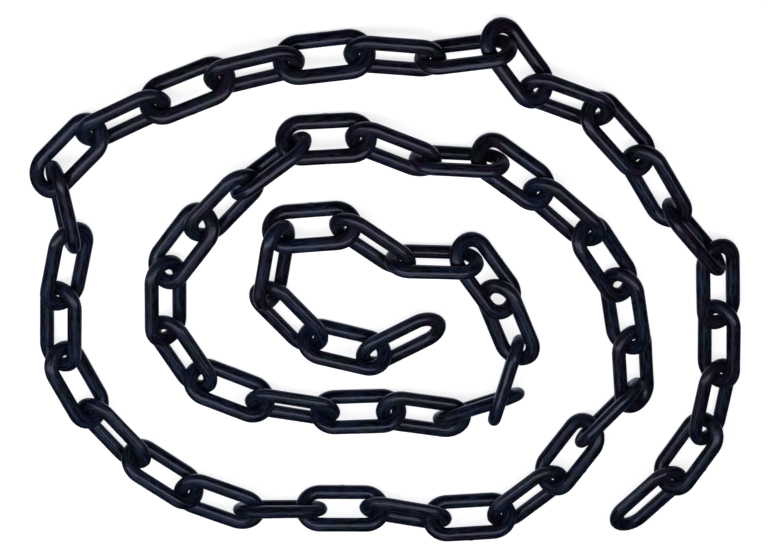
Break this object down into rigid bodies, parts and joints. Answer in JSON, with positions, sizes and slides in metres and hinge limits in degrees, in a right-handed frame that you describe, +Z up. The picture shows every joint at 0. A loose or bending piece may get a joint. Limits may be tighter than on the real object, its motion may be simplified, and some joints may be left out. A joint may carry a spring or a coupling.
{
  "type": "heap of plastic chain",
  "caption": "Length of black plastic link chain laid loose on a floor in an open spiral, with moulded oval links hooked through each other and both ends free.",
  "frame": {"origin": "middle of the laid chain's outline, at the level of the floor under it", "axes": "+Z up from the floor, +X along the spiral's longer side and the picture's right, +Y along its shorter side and the picture's up"},
  "size_m": [0.3746, 0.3, 0.0333],
  "materials": {
    "black_plastic": "smooth glossy moulded plastic, near black with a faint blue cast"
  },
  "bodies": {
    "root": {"link_01": "black_plastic", "link_02": "black_plastic", "link_03": "black_plastic", "link_04": "black_plastic", "link_05": "black_plastic", "link_06": "black_plastic", "link_07": "black_plastic", "link_08": "black_plastic", "link_09": "black_plastic", "link_10": "black_plastic", "link_11": "black_plastic", "link_12": "black_plastic", "link_13": "black_plastic", "link_14": "black_plastic", "link_15": "black_plastic", "link_16": "black_plastic", "link_17": "black_plastic", "link_18": "black_plastic", "link_19": "black_plastic", "link_20": "black_plastic", "link_21": "black_plastic", "link_22": "black_plastic", "link_23": "black_plastic", "link_24": "black_plastic", "link_25": "black_plastic", "link_26": "black_plastic", "link_27": "black_plastic", "link_28": "black_plastic", "link_29": "black_plastic", "link_30": "black_plastic", "link_31": "black_plastic", "link_32": "black_plastic", "link_33": "black_plastic", "link_34": "black_plastic", "link_35": "black_plastic", "link_36": "black_plastic", "link_37": "black_plastic", "link_38": "black_plastic", "link_39": "black_plastic", "link_40": "black_plastic", "link_41": "black_plastic", "link_42": "black_plastic", "link_43": "black_plastic", "link_44": "black_plastic", "link_45": "black_plastic", "link_46": "black_plastic", "link_47": "black_plastic", "link_48": "black_plastic", "link_49": "black_plastic", "link_50": "black_plastic", "link_51": "black_plastic", "link_52": "black_plastic", "link_53": "black_plastic", "link_54": "black_plastic", "link_55": "black_plastic", "link_56": "black_plastic", "link_57": "black_plastic", "link_58": "black_plastic", "link_59": "black_plastic"}
  },
  "joints": []
}
